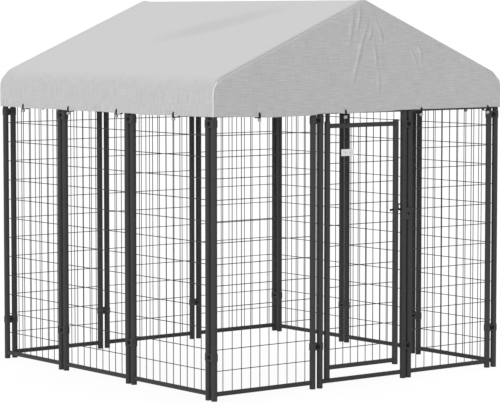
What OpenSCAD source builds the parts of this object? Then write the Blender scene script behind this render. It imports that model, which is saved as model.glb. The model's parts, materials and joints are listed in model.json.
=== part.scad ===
// Outdoor dog kennel run: mesh panels clamped post to post in a square, a hinged door in the middle
// of the front, and a gable canopy on a tube frame, held down by ball bungees.
// Millimetres, +Z up, front towards -Y, origin on the ground in the middle of the run.

/* [Layout] */
// Distance between the axes of neighbouring corner posts
side = 1794; // [1600:1:2400]
// Distance between the axes of two clamped posts
pair_pitch = 45; // [44:0.5:60]
// Distance between the axes of the two posts beside the latch
latch_pair_pitch = 36; // [36:0.5:60]
// Middle of the front's first post pair, from the front's own corner
front_pair_1 = 616; // [480:1:680]
// Middle of the front's second post pair
front_pair_2 = 1192; // [1080:1:1250]
// Middle of the right side's first post pair
right_pair_1 = 594; // [480:1:680]
// Middle of the right side's second post pair
right_pair_2 = 1180; // [1080:1:1250]
// Middle of the rear's first post pair
rear_pair_1 = 563; // [480:1:680]
// Middle of the rear's second post pair
rear_pair_2 = 1181; // [1080:1:1250]
// Middle of the left side's first post pair
left_pair_1 = 533; // [480:1:680]
// Middle of the left side's second post pair
left_pair_2 = 1125; // [1080:1:1250]

/* [Panel tubes] */
// Outer diameter of the posts and the door stiles
post_d = 29; // [25:0.5:32]
// Wall of the posts and the door stiles
post_wall = 1.2; // [1:0.1:2]
// Outer diameter of the rails
rail_d = 22; // [18:0.5:24]
// Wall of the rails
rail_wall = 1; // [0.8:0.1:1.6]
// Height of the bottom rail's axis above the ground
bottom_rail_z = 31.5; // [25:0.5:80]
// Distance between the axes of the bottom and the top rail
rail_span = 1302; // [1100:1:1800]
// Length of a post above the top rail's axis
post_over = 36.5; // [30:0.5:60]
// Thickness of a post's end plug outside the tube
plug_t = 2; // [1:0.5:5]
// Depth of a plug inside its tube
plug_depth = 16; // [8:1:30]

/* [Wire mesh] */
// Diameter of the mesh wires
wire_d = 3.8; // [2.5:0.1:4.5]
// Distance between the upright wires of a panel
wire_pitch = 55; // [40:1:80]
// Least distance from a post's axis to the nearest upright wire
wire_edge = 44; // [30:1:60]
// Distance between the level wires
row_pitch = 100; // [70:1:140]
// Height of the first level wire above the bottom rail's axis
row_first = 107; // [60:1:140]
// Least distance from the last level wire to the top rail's axis
row_edge = 66; // [64:1:100]

/* [Clamps] */
// Height of a panel clamp
clamp_h = 35; // [20:1:40]
// Thickness of a clamp's saddle plate
clamp_t = 2.2; // [2:0.1:4]
// Distance from the post plane to the flat web of a clamp half
web_gap = 11; // [9:0.5:11.5]
// Height of a lower clamp's middle above the first level wire
low_clamp_rise = 66.5; // [45:0.5:70]
// Distance from the top rail's axis down to an upper clamp's middle
top_clamp_drop = 40; // [32:0.5:45]
// Distance from the top rail's axis down to the upper strap's middle beside the latch
latch_strap_drop = 72; // [50:0.5:200]
// Height of the lower strap's middle beside the latch above the bottom rail's axis
latch_strap_rise = 132; // [80:0.5:200]
// Thread diameter of the clamp bolts
bolt_d = 6; // [5:1:8]
// Thickness of the flange under a clamp bolt's head
flange_t = 2; // [1.5:0.1:3]

/* [Door] */
// Distance from the left door post's axis to the hinge axis
hinge_offset = 44.5; // [38:0.5:70]
// Distance from the latch stile's axis to the right door post's axis
latch_offset = 53; // [48.5:0.5:70]
// Distance from the surround's top rail down to the door's top rail
door_drop = 69; // [60:0.5:120]
// Distance from the surround's bottom rail up to the door's bottom rail
door_lift = 64; // [50:0.5:120]
// Length of a stile beyond the axis of the door's rail
stile_over = 19; // [15:0.5:30]
// Distance between the upright wires of the door
door_wire_pitch = 47.7; // [40:0.1:70]
// Height of the door's first level wire above its bottom rail
door_row_first = 88; // [60:1:120]
// Diameter of the hinge pins
hinge_pin_d = 12; // [8:0.5:13]
// Diameter of the sleeve round the upper hinge pin, between the stile and the top rail
hinge_sleeve_d = 21; // [16:0.5:26]
// Length of the upper hinge pin above the top rail
upper_pin_over = 6; // [2:0.5:12]
// Distance from the bottom rail's underside up to the lower hinge pin's end
lower_pin_inset = 2; // [1:0.5:4]
// Height of the hinge's bearing saddle above the bottom rail
saddle_t = 2; // [1:0.5:5]

/* [Latch] */
// Height of the latch bolt above the ground
latch_z = 840; // [600:1:1100]
// Diameter of the latch bolt
latch_d = 8; // [6:0.5:10]
// Travel of the latch bolt from open to locked
latch_travel = 8.5; // [7.5:0.5:8.5]
// Length of the latch bolt's tail, from the stile's axis
latch_tail = 33; // [33:0.5:50]
// Diameter of the upright handle on the latch bolt
handle_d = 6; // [4:0.5:6]
// Height of the handle above the bolt's axis
handle_h = 28; // [20:1:50]
// Reach of the handle's bent end towards the front
handle_reach = 12; // [8:1:25]
// Height of the latch keeper strap
keeper_h = 60; // [40:1:80]
// Thickness of the latch keeper strap
keeper_t = 2.5; // [2:0.1:4]
// Height of the keeper below the bolt's axis
keeper_below = 51; // [25:1:52]
// Height of the door stop tab on the keeper
stop_h = 9; // [6:1:16]

/* [Name plate] */
// Width of the bare plate on the door
plate_w = 78; // [50:1:90]
// Height of the plate
plate_h = 33; // [24:1:60]
// Thickness of the plate and of the strip behind it
plate_t = 1.5; // [1:0.1:3]
// Distance between the plate's two screws
plate_screw_pitch = 28; // [20:0.5:32]

/* [Roof frame] */
// Clearance of a roof tube in the bore of a corner post
leg_slack = 0.3; // [0.2:0.1:1]
// Wall of the roof tubes
roof_wall = 1; // [0.8:0.1:1.6]
// Slope of the roof in degrees
roof_pitch = 22.7; // [15:0.1:35]
// Height of the knee, where leg and slope would meet, above the post tops
knee_rise = 107; // [95:1:200]
// Bend radius of the rafters at the eaves
eave_r = 88; // [50:1:95]
// Depth of a rafter leg in its corner post
leg_depth = 60; // [40:1:100]
// Height of the collar that stops a rafter leg on its post
collar_h = 12; // [6:1:20]
// Length of an apex connector's arms
apex_arm = 40; // [30:1:80]
// Length of the spigots that the roof tubes slide over
spigot = 45; // [25:1:80]
// Distance from the eave bend up the slope to the eave tube's axis
eave_tube_rise = 18; // [14:1:60]

/* [Canopy] */
// Thickness of the canopy cloth
cloth_t = 1.5; // [1:0.1:3]
// Clearance between the canopy cloth and the roof tubes
cloth_gap = 0.5; // [0.3:0.1:2]
// Clearance between the canopy's skirt and the posts
skirt_gap = 3.5; // [2:0.5:10]
// Outer radius of the canopy at the eaves
cloth_eave_r = 100; // [60:1:110]
// Distance from the top rail's axis down to the hem
hem_drop = 6.5; // [2:0.5:12]
// Bore diameter of the grommets
grommet_bore = 10; // [8:0.5:14]
// Flange diameter of the grommets
grommet_d = 16; // [15:0.5:24]
// Height of the cloth left below a grommet
grommet_margin = 2.5; // [1:0.5:4]

/* [Ball bungees] */
// Diameter of the elastic cord
cord_d = 4; // [3:0.5:5]
// Diameter of the balls
ball_d = 18; // [16:0.5:20]
// Distance from the top rail's axis down to the middle of a ball
ball_drop = 27.5; // [24:0.5:40]
// Front bungees: distance from the panel's first post, or back from its last post where negative
front_bungees = [252, 142, 61, -27]; // [-300:1:400]
// Right bungees
right_bungees = [238, 54, -66, 357]; // [-300:1:400]
// Rear bungees
rear_bungees = [252, 142, 54, 345]; // [-300:1:400]
// Left bungees
left_bungees = [201, 54, -66, 357]; // [-300:1:400]

/* [Hidden] */
$fn = 48;

// Overshoot of a cut beyond the face that it opens
cut = 1;
// Gap left at a weld, a touching face and a crossing of wires
touch = 0.05;
// Radial clearance of a pin that turns or slides in its hole
running = 0.05;
// Radial clearance of a bolt in its hole
bolt_slack = 0.2;
// Clearance between faces that move past each other
moving_gap = 0.3;

// Colours of the materials
frame_colour = "#3c3c3d";
plastic_colour = "#1d1d1e";
bolt_colour = "#262627";
zinc_colour = "#8d8f92";
grommet_colour = "#bcbcbc";
cloth_colour = "#c8c8c8";
ball_colour = "#a9a9a6";
plate_colour = "#f2f2f0";

// Faces of the run, counted round from the front, and the panels along each
front = 0;
right = 1;
rear = 2;
left = 3;
door_panel = 1;
latch_pair = 1;
first_pair = [front_pair_1, right_pair_1, rear_pair_1, left_pair_1];
second_pair = [front_pair_2, right_pair_2, rear_pair_2, left_pair_2];

post_r = post_d / 2;
post_bore_r = post_r - post_wall;
rail_r = rail_d / 2;
wire_r = wire_d / 2;
roof_r = post_bore_r - leg_slack;
roof_d = 2 * roof_r;
roof_bore_r = roof_r - roof_wall;
spigot_r = roof_bore_r - running;
cord_r = cord_d / 2;
ball_r = ball_d / 2;
bolt_r = bolt_d / 2;
half = side / 2;

top_rail_z = bottom_rail_z + rail_span;
post_top_z = top_rail_z + post_over;
door_bottom_z = bottom_rail_z + door_lift;
door_top_z = top_rail_z - door_drop;
stile_top_z = door_top_z + stile_over;
latch_stile_bottom_z = door_bottom_z - stile_over;

// Places along one side, measured from the side's own corner post
function joint(face, i) = i == 0 ? first_pair[face] : i == 1 ? second_pair[face] : side - pair_pitch / 2;
function at_latch(face, i) = face == front && i == latch_pair;
function pitch_at(face, i) = at_latch(face, i) ? latch_pair_pitch : pair_pitch;
function panel_start(face, i) = i == 0 ? 0 : joint(face, i - 1) + pitch_at(face, i - 1) / 2;
function panel_end(face, i) = joint(face, i) - pitch_at(face, i) / 2;

door_post_l = panel_start(front, door_panel);
door_post_r = panel_end(front, door_panel);
hinge_u = door_post_l + hinge_offset;
latch_u = door_post_r - latch_offset;

// Frame of one side: X along the side from its own corner post, Y inwards, Z up
module on_side(face) {
    rotate([0, 0, 90 * face]) translate([-half, -half, 0]) children();
}

module tube(r, bore_r, h) {
    difference() {
        cylinder(r = r, h = h);
        translate([0, 0, -cut]) cylinder(r = bore_r, h = h + 2 * cut);
    }
}

// Rail between two uprights, shaped to their round sides
module rail(u0, u1, z) {
    difference() {
        translate([u0, 0, z]) rotate([0, 90, 0]) tube(rail_r, rail_r - rail_wall, u1 - u0);
        for (u = [u0, u1]) translate([u, 0, z - rail_r - cut])
            cylinder(r = post_r + touch, h = 2 * (rail_r + cut));
    }
}

module panel_frame(face, i) {
    u0 = panel_start(face, i);
    u1 = panel_end(face, i);
    for (u = [u0, u1]) translate([u, 0, plug_t]) tube(post_r, post_bore_r, post_top_z - plug_t);
    for (z = [bottom_rail_z, top_rail_z]) rail(u0, u1, z);
}

module panel(face, i) {
    color(frame_colour) on_side(face) panel_frame(face, i);
}

// Upright wires stand evenly about the middle between two uprights
function last_column(u0, u1, pitch) = floor((u1 - u0 - 2 * wire_edge) / pitch);
function first_column_u(u0, u1, pitch) = (u0 + u1 - last_column(u0, u1, pitch) * pitch) / 2;
// Level wires are counted up from the first one above the bottom rail
function last_row(z0, z1, first_row) = floor((z1 - z0 - first_row - row_edge) / row_pitch);

// Upright and level wires between two uprights and two rails
module wire_grid(u0, u1, z0, z1, pitch, first_row) {
    for (i = [0 : last_column(u0, u1, pitch)])
        translate([first_column_u(u0, u1, pitch) + i * pitch, -wire_r, z0 + rail_r + touch])
            cylinder(r = wire_r, h = z1 - z0 - 2 * (rail_r + touch));
    for (i = [0 : last_row(z0, z1, first_row)])
        translate([u0 + post_r + touch, wire_r + touch, z0 + first_row + i * row_pitch])
            rotate([0, 90, 0]) cylinder(r = wire_r, h = u1 - u0 - 2 * (post_r + touch));
}

module mesh(face, i) {
    color(frame_colour) on_side(face)
        wire_grid(panel_start(face, i), panel_end(face, i), bottom_rail_z, top_rail_z, wire_pitch, row_first);
}

// Flanged plug on the end of a tube of the posts' size, pointing up into the tube
module plug(flange_t) {
    cylinder(r = post_r, h = flange_t);
    cylinder(r = post_bore_r - touch, h = flange_t + plug_depth);
}

module at_posts(first) {
    for (face = [front : left]) on_side(face) for (i = [0 : 2]) {
        if (i > 0 || first) translate([panel_start(face, i), 0, 0]) children();
        translate([panel_end(face, i), 0, 0]) children();
    }
}

module post_feet() {
    color(plastic_colour) at_posts(first = true) plug(plug_t);
}

// The corner posts take the rafter legs, so only the other posts are capped
module post_caps() {
    color(plastic_colour) at_posts(first = false)
        translate([0, 0, post_top_z + plug_t]) mirror([0, 0, 1]) plug(plug_t);
}

// Panel clamps: two saddle plates drawn together between a pair of posts, or two flat straps where the
// posts stand closer beside the latch
saddle_r = post_r + clamp_t;
web_outer = web_gap + clamp_t;
head_r = bolt_d * 0.96;
head_h = bolt_d * 0.66;
nut_h = bolt_d * 0.85;
bolt_end = bolt_d / 2;

// A bolt's flange fills the flat of the web between the saddles
flange_gap = 0.6;
saddle_half = sqrt(pow(saddle_r, 2) - pow(web_outer, 2));
flange_r = min(clamp_h, pair_pitch - 2 * saddle_half) / 2 - flange_gap;

clamp_heights = [bottom_rail_z + row_first + low_clamp_rise, top_rail_z - top_clamp_drop];
strap_heights = [bottom_rail_z + latch_strap_rise, top_rail_z - latch_strap_drop];
strap_in = post_r + touch;
strap_out = strap_in + clamp_t;

module at_clamps() {
    for (face = [front : left]) on_side(face) for (i = [0 : 2]) if (!at_latch(face, i))
        for (z = clamp_heights) translate([joint(face, i), 0, z]) children();
}

module at_straps() {
    on_side(front) for (z = strap_heights) translate([joint(front, latch_pair), 0, z]) children();
}

module pair_cylinders(r, h) {
    for (s = [-1, 1]) translate([s * pair_pitch / 2, 0, -h / 2]) cylinder(r = r, h = h);
}

module clamp_half() {
    reach = pair_pitch / 2 + saddle_r + cut;
    difference() {
        union() {
            pair_cylinders(saddle_r, clamp_h);
            translate([-pair_pitch / 2, -web_outer, -clamp_h / 2]) cube([pair_pitch, clamp_t, clamp_h]);
        }
        pair_cylinders(post_r + touch, clamp_h + 2 * cut);
        translate([-reach, -web_gap, -clamp_h / 2 - cut]) cube([2 * reach, reach, clamp_h + 2 * cut]);
        rotate([90, 0, 0]) cylinder(r = bolt_r + bolt_slack, h = reach);
    }
}

module strap() {
    length = latch_pair_pitch + post_r;
    difference() {
        translate([-length / 2, -strap_out, -clamp_h / 2]) cube([length, clamp_t, clamp_h]);
        rotate([90, 0, 0]) cylinder(r = bolt_r + bolt_slack, h = strap_out + cut);
    }
}

module clamp_plates_outer() {
    color(frame_colour) {
        at_clamps() clamp_half();
        at_straps() strap();
    }
}

module clamp_plates_inner() {
    color(frame_colour) {
        at_clamps() mirror([0, 1, 0]) clamp_half();
        at_straps() mirror([0, 1, 0]) strap();
    }
}

// Hexagon bolt along Y with its head against a face on the outer side, and the nut on the inner side
module bolt(face_y) {
    translate([0, -face_y - touch, 0]) rotate([90, 0, 0]) cylinder(r = head_r, h = head_h, $fn = 6);
    translate([0, -face_y - touch - cut / 2, 0]) rotate([-90, 0, 0])
        cylinder(r = bolt_r, h = 2 * face_y + nut_h + bolt_end + cut);
}

module nut(face_y) {
    translate([0, face_y + touch, 0]) rotate([-90, 0, 0]) difference() {
        cylinder(r = head_r, h = nut_h, $fn = 6);
        translate([0, 0, -cut]) cylinder(r = bolt_r + touch, h = nut_h + 2 * cut, $fn = 48);
    }
}

module flange_bolt(face_y) {
    bolt(face_y);
    translate([0, -face_y - touch, 0]) rotate([90, 0, 0]) cylinder(r = flange_r, h = flange_t);
}

module clamp_bolts() {
    color(bolt_colour) {
        at_clamps() flange_bolt(web_outer);
        at_straps() flange_bolt(strap_out);
    }
}

module clamp_nuts() {
    color(bolt_colour) {
        at_clamps() nut(web_outer);
        at_straps() nut(strap_out);
    }
}

// Door surround: the door panel's frame, drilled for the hinge pins and the latch bolt
latch_hole_slack = 1;
latch_hole_r = latch_d / 2 + latch_hole_slack;

module door_surround() {
    color(frame_colour) on_side(front) difference() {
        panel_frame(front, door_panel);
        for (z = [bottom_rail_z, top_rail_z]) translate([hinge_u, 0, z - rail_d])
            cylinder(r = hinge_pin_d / 2 + running, h = 2 * rail_d);
        translate([door_post_r - post_r - cut, 0, latch_z]) rotate([0, 90, 0])
            cylinder(r = latch_hole_r, h = post_r);
    }
}

saddle_top_z = bottom_rail_z + rail_r + saddle_t;
hinge_stile_bottom_z = saddle_top_z + moving_gap + plug_t;

module stile(u, z0, z1) {
    translate([u, 0, z0]) tube(post_r, post_bore_r, z1 - z0);
}

module door_frame() {
    color(frame_colour) on_side(front) {
        stile(hinge_u, hinge_stile_bottom_z, stile_top_z);
        difference() {
            stile(latch_u, latch_stile_bottom_z, stile_top_z);
            translate([latch_u - post_d, 0, latch_z]) rotate([0, 90, 0])
                cylinder(r = latch_d / 2 + running, h = 2 * post_d);
        }
        for (z = [door_bottom_z, door_top_z]) rail(hinge_u, latch_u, z);
    }
}

module door_mesh() {
    color(frame_colour) on_side(front)
        wire_grid(hinge_u, latch_u, door_bottom_z, door_top_z, door_wire_pitch, door_row_first);
}

module stile_plugs() {
    color(plastic_colour) on_side(front) translate([latch_u, 0, 0]) {
        translate([0, 0, latch_stile_bottom_z - plug_t]) plug(plug_t);
        translate([0, 0, stile_top_z + plug_t]) mirror([0, 0, 1]) plug(plug_t);
    }
}

// Hinge pin with a flanged plug in the stile's end, pointing down along -Z from the stile
module hinge_pin(length) {
    mirror([0, 0, 1]) cylinder(r = hinge_pin_d / 2, h = length);
    translate([0, 0, -plug_t]) plug(plug_t);
}

module hinge_pin_top() {
    length = top_rail_z + rail_r + upper_pin_over - stile_top_z;
    sleeve_h = top_rail_z - rail_r - moving_gap - stile_top_z;
    color(frame_colour) on_side(front) translate([hinge_u, 0, stile_top_z]) {
        mirror([0, 0, 1]) hinge_pin(length);
        cylinder(r = hinge_sleeve_d / 2, h = sleeve_h);
    }
}

module hinge_pin_bottom() {
    length = hinge_stile_bottom_z - (bottom_rail_z - rail_r + lower_pin_inset);
    color(frame_colour) on_side(front) translate([hinge_u, 0, hinge_stile_bottom_z]) hinge_pin(length);
}

// Saddle that rests on the bottom rail's round top and carries the door
module hinge_saddle() {
    color(plastic_colour) on_side(front) difference() {
        translate([hinge_u, 0, bottom_rail_z + rail_r / 2]) cylinder(r = post_r, h = rail_r / 2 + saddle_t);
        translate([hinge_u - post_d, 0, bottom_rail_z]) rotate([0, 90, 0])
            cylinder(r = rail_r + touch, h = 2 * post_d);
        translate([hinge_u, 0, bottom_rail_z]) cylinder(r = hinge_pin_d / 2 + running, h = post_d);
    }
}

// Latch: a bolt through the latch stile, with an upright handle in the gap beside the post
keeper_in = post_r + touch;
keeper_out = keeper_in + keeper_t;
keeper_z = latch_z - keeper_below;
latch_grip = 7;
latch_tip = latch_offset - keeper_out + latch_grip - latch_travel;
handle_gap = 1;
handle_x = post_r + handle_gap + handle_d / 2;
handle_bend_r = handle_d;
collar_w = 5.5;
collar_wall = 1.5;

module latch_bolt() {
    handle_r = handle_d / 2;
    color(bolt_colour) on_side(front) translate([latch_u, 0, latch_z]) {
        translate([-latch_tail, 0, 0]) rotate([0, 90, 0]) {
            cylinder(r = latch_d / 2, h = latch_tail + latch_tip);
            cylinder(r = latch_d / 2 + collar_wall, h = collar_w);
        }
        translate([handle_x, 0, 0]) {
            cylinder(r = handle_r, h = handle_h - handle_bend_r);
            translate([0, -handle_bend_r, handle_h - handle_bend_r]) rotate([0, 90, 0]) rotate([0, 0, 90])
                rotate_extrude(angle = 90) translate([handle_bend_r, 0]) circle(r = handle_r);
            translate([0, -handle_bend_r, handle_h]) rotate([90, 0, 0])
                cylinder(r = handle_r, h = handle_reach - handle_bend_r);
            translate([0, -handle_reach, handle_h]) sphere(r = handle_r);
        }
    }
}

// Keeper strap round both posts beside the latch, with the bolt's hole and a tab that stops the door
module latch_keeper() {
    leg = latch_pair_pitch + post_r / 2;
    stop_reach = latch_offset + post_r / 2;
    color(frame_colour) on_side(front) translate([door_post_r, 0, keeper_z]) {
        difference() {
            union() {
                cylinder(r = keeper_out, h = keeper_h);
                translate([0, -keeper_out, 0]) cube([leg, 2 * keeper_out, keeper_h]);
            }
            translate([0, 0, -cut]) cylinder(r = keeper_in, h = keeper_h + 2 * cut);
            translate([0, -keeper_in, -cut]) cube([leg + cut, 2 * keeper_in, keeper_h + 2 * cut]);
            translate([-2 * keeper_out, 0, keeper_below]) rotate([0, 90, 0])
                cylinder(r = latch_hole_r, h = 2 * keeper_out);
            translate([latch_pair_pitch / 2, 2 * keeper_out, keeper_h / 2]) rotate([90, 0, 0])
                cylinder(r = bolt_r + bolt_slack, h = 4 * keeper_out);
        }
        translate([-stop_reach, keeper_out, keeper_below - stop_h / 2])
            cube([stop_reach + post_r / 2, keeper_t, stop_h]);
    }
}

module at_keeper() {
    on_side(front) translate([joint(front, latch_pair), 0, keeper_z + keeper_h / 2]) children();
}

module keeper_bolt() {
    color(bolt_colour) at_keeper() bolt(keeper_out);
}

module keeper_nut() {
    color(bolt_colour) at_keeper() nut(keeper_out);
}

// Bare plate on the door between the last two level wires, screwed to a strip behind two upright wires
plate_u = first_column_u(hinge_u, latch_u, door_wire_pitch) + 1.5 * door_wire_pitch;
plate_rows_up = last_row(door_bottom_z, door_top_z, door_row_first) - 0.5;
plate_z = door_bottom_z + door_row_first + plate_rows_up * row_pitch;
plate_back = wire_d + touch;
strip_w = door_wire_pitch + 4 * wire_d;
strip_h = plate_h / 2;
screw_r = 1.5;
screw_head_r = 3;
screw_head_h = 1.5;

module at_plate() {
    on_side(front) translate([plate_u, 0, plate_z]) children();
}

module at_plate_screws() {
    for (s = [-1, 1]) translate([s * plate_screw_pitch / 2, 0, 0]) rotate([-90, 0, 0]) children();
}

module name_plate() {
    color(plate_colour) at_plate() difference() {
        translate([-plate_w / 2, -plate_back - plate_t, -plate_h / 2]) cube([plate_w, plate_t, plate_h]);
        translate([0, -plate_back - plate_t - cut, 0]) at_plate_screws()
            cylinder(r = screw_r + touch, h = plate_t + 2 * cut);
    }
}

module plate_strip() {
    color(plate_colour) at_plate() difference() {
        translate([-strip_w / 2, touch, -strip_h / 2]) cube([strip_w, plate_t, strip_h]);
        translate([0, touch - cut, 0]) at_plate_screws() cylinder(r = screw_r + touch, h = plate_t + 2 * cut);
    }
}

module plate_screws() {
    length = plate_back + plate_t + touch + plate_t;
    color(zinc_colour) at_plate() translate([0, -plate_back - plate_t - touch, 0]) at_plate_screws() {
        cylinder(r = screw_r, h = length);
        translate([0, 0, -screw_head_h]) cylinder(r = screw_head_r, h = screw_head_h);
    }
}

// Roof frame: a bent rafter from each corner post to the apex connectors on the ridge
knee_z = post_top_z + knee_rise;
ridge_z = knee_z + half * tan(roof_pitch);
bend_angle = 90 - roof_pitch;
bend_tangent = eave_r * tan(bend_angle / 2);
bend_z = knee_z - bend_tangent;
bend_x = half - eave_r;
slope_length = half / cos(roof_pitch) - bend_tangent - apex_arm;
eave_tube_out = eave_r * cos(bend_angle) - eave_tube_rise * cos(roof_pitch);
eave_tube_x = bend_x + eave_tube_out;
eave_tube_z = bend_z + eave_r * sin(bend_angle) + eave_tube_rise * sin(roof_pitch);

module roof_tube_ring() {
    difference() {
        circle(r = roof_r);
        circle(r = roof_bore_r);
    }
}

// Spigot for the eave tube, rooted in the wall of an upright roof tube
module eave_spigot() {
    difference() {
        rotate([-90, 0, 0]) cylinder(r = spigot_r, h = roof_r + spigot);
        translate([0, 0, -roof_d]) cylinder(r = roof_r - roof_wall / 2, h = 2 * roof_d);
    }
}

// Bent leg and the slope butt-welded to it, drawn about the middle of the bend
module rafter(mirrored, facing) {
    leg = bend_z - post_top_z + leg_depth;
    color(frame_colour) mirror([mirrored, 0, 0]) mirror([0, facing, 0]) translate([bend_x, -half, bend_z]) {
        translate([eave_r, 0, -leg]) linear_extrude(height = leg) roof_tube_ring();
        rotate([90, 0, 0]) rotate_extrude(angle = bend_angle) translate([eave_r, 0]) roof_tube_ring();
        rotate([0, -bend_angle, 0]) translate([eave_r, 0, touch]) {
            linear_extrude(height = slope_length - touch) roof_tube_ring();
            translate([0, 0, eave_tube_rise - touch]) eave_spigot();
        }
    }
}

module apex_connector(facing) {
    color(plastic_colour) mirror([0, facing, 0]) translate([0, -half, ridge_z]) {
        sphere(r = roof_r);
        for (s = [-1, 1]) rotate([0, s * (90 + roof_pitch), 0]) {
            cylinder(r = roof_r, h = apex_arm - touch);
            cylinder(r = spigot_r, h = apex_arm + spigot);
        }
        rotate([-90, 0, 0]) {
            cylinder(r = roof_r, h = apex_arm - touch);
            cylinder(r = spigot_r, h = apex_arm + spigot);
        }
    }
}

module ridge_tube() {
    color(frame_colour) translate([0, -half + apex_arm, ridge_z]) rotate([-90, 0, 0])
        tube(roof_r, roof_bore_r, side - 2 * apex_arm);
}

module eave_tube(mirrored) {
    length = side - 2 * (roof_r + moving_gap);
    color(frame_colour) mirror([mirrored, 0, 0])
        translate([eave_tube_x, -length / 2, eave_tube_z]) rotate([-90, 0, 0])
            tube(roof_r, roof_bore_r, length);
}

module leg_collars() {
    color(plastic_colour) for (face = [front : left]) on_side(face) translate([0, 0, post_top_z + touch])
        tube(post_r, roof_r + touch, collar_h);
}

// Canopy: one sewn cloth with a gable at each end and a skirt all round, open below
cloth_half = half + post_r + skirt_gap + cloth_t;
cloth_lift = roof_r + cloth_gap + cloth_t;
cloth_eave_x = cloth_half - cloth_eave_r;
cloth_eave_z =
    ridge_z + (cloth_lift - cloth_eave_r - cloth_eave_x * sin(roof_pitch)) / cos(roof_pitch);
hem_z = top_rail_z - hem_drop;
eave_steps = 10;
ridge_steps = 4;

// Right half of the gable outline from the hem to the ridge, drawn in by inset
function eave_arc(inset) = [for (i = [0 : eave_steps])
    let (a = bend_angle * i / eave_steps, r = cloth_eave_r - inset)
    [cloth_eave_x + r * cos(a), cloth_eave_z + r * sin(a)]];
function ridge_arc(inset) = [for (i = [0 : ridge_steps])
    let (a = bend_angle + roof_pitch * i / ridge_steps, r = cloth_lift - inset)
    [r * cos(a), ridge_z + r * sin(a)]];
function half_outline(inset, bottom) =
    concat([[cloth_half - inset, bottom]], eave_arc(inset), ridge_arc(inset));
function mirrored_points(points) = [for (i = [len(points) - 1 : -1 : 0]) [-points[i][0], points[i][1]]];

module gable_block(inset, bottom) {
    points = half_outline(inset, bottom);
    length = 2 * (cloth_half - inset);
    translate([0, length / 2, 0]) rotate([90, 0, 0]) linear_extrude(height = length)
        polygon(concat(points, mirrored_points([for (i = [0 : len(points) - 2]) points[i]])));
}

// Ball bungees: a doubled cord from the ball up through a grommet, round the top rail and back to the
// ball, moved aside where it would meet an upright wire
bungee_panels = [[0, 1, 2, 2], [0, 1, 1, 2], [0, 1, 2, 2], [0, 1, 1, 2]];
bungee_offsets = [front_bungees, right_bungees, rear_bungees, left_bungees];
cord_gap = 1;
strand_pitch = cord_d + cord_gap;
bungee_clear = wire_r + strand_pitch / 2 + cord_r + cord_gap;
function nearest_wire(u, first) = first + wire_pitch * round((u - first) / wire_pitch);
function clear_of(u, wire) = abs(u - wire) > bungee_clear ? u : wire + (u < wire ? -1 : 1) * bungee_clear;
function bungee_u(face, i) =
    let (p = bungee_panels[face][i], offset = bungee_offsets[face][i])
    let (u0 = panel_start(face, p), u1 = panel_end(face, p))
    let (u = offset < 0 ? u1 + offset : u0 + offset)
    clear_of(u, nearest_wire(u, first_column_u(u0, u1, wire_pitch)));

grommet_t = 1;
barrel_wall = 1.5;
barrel_r = grommet_bore / 2 + barrel_wall;
wrap_r = rail_r + cord_r + moving_gap;
cord_bend_r = 3.5;
kink_gap = 0.5;
cord_kink_r = cord_r + kink_gap;
grommet_rise = min(wrap_r - cord_kink_r - cord_d, grommet_margin + grommet_d / 2 - hem_drop);
grommet_z = top_rail_z + grommet_rise;
cloth_out = post_r + skirt_gap + cloth_t;
cord_y = cloth_out + grommet_t + cord_r + moving_gap;
cord_seat = 5;

module at_bungees() {
    for (face = [front : left]) on_side(face) for (i = [0 : 3])
        translate([bungee_u(face, i), 0, 0]) children();
}

module canopy() {
    color(cloth_colour) difference() {
        gable_block(0, hem_z);
        gable_block(cloth_t, hem_z - cut);
        at_bungees() translate([0, -cloth_out - cut, grommet_z]) rotate([-90, 0, 0])
            cylinder(r = barrel_r + touch, h = cloth_t + 2 * cut);
    }
}

module grommets() {
    span = cloth_t + 2 * (grommet_t + touch);
    color(grommet_colour) at_bungees() translate([0, -cloth_out - grommet_t - touch, grommet_z])
        rotate([-90, 0, 0]) difference() {
            union() {
                cylinder(r = barrel_r, h = span);
                cylinder(r = grommet_d / 2, h = grommet_t);
                translate([0, 0, span - grommet_t]) cylinder(r = grommet_d / 2, h = grommet_t);
            }
            translate([0, 0, -cut]) cylinder(r = grommet_bore / 2, h = span + 2 * cut);
        }
}

// Quarter or longer turn of the cord, from its top round towards +Y
module cord_turn(r, angle) {
    rotate([90, 0, 90]) rotate([0, 0, 90]) mirror([0, 1, 0])
        rotate_extrude(angle = angle) translate([r, 0]) circle(r = cord_r);
}

// Strand outwards from a start before the rail's axis, at a height above it, then down into the ball
module bungee_strand(start, out, height) {
    drop = height - cord_bend_r + ball_drop - ball_r + cord_seat;
    translate([0, -start, height]) rotate([90, 0, 0]) cylinder(r = cord_r, h = out - cord_bend_r - start);
    translate([0, cord_bend_r - out, height - cord_bend_r]) {
        mirror([0, 1, 0]) cord_turn(cord_bend_r, 90);
        translate([0, -cord_bend_r, -drop]) cylinder(r = cord_r, h = drop);
    }
}

// Turn up from a strand through the grommet, and over the rail's shoulder to its top
module bungee_shoulder() {
    shoulder_z = grommet_rise + cord_kink_r;
    shoulder_r = wrap_r - shoulder_z;
    translate([0, -wrap_r - cord_kink_r, shoulder_z]) mirror([0, 0, 1]) cord_turn(cord_kink_r, 90);
    translate([0, shoulder_r - wrap_r, shoulder_z]) mirror([0, 1, 0]) cord_turn(shoulder_r, 90);
    translate([0, 0, wrap_r]) rotate([90, 0, 0]) cylinder(r = cord_r, h = wrap_r - shoulder_r);
}

module bungee_loop() {
    translate([0, 0, top_rail_z]) {
        cord_turn(wrap_r, 180);
        bungee_shoulder();
        bungee_strand(wrap_r + cord_kink_r, cord_y, grommet_rise);
        bungee_strand(0, cord_y - strand_pitch, -wrap_r);
    }
}

module bungee_loops() {
    color(plastic_colour) at_bungees()
        for (s = [-1, 1]) translate([s * strand_pitch / 2, 0, 0]) bungee_loop();
}

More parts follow.
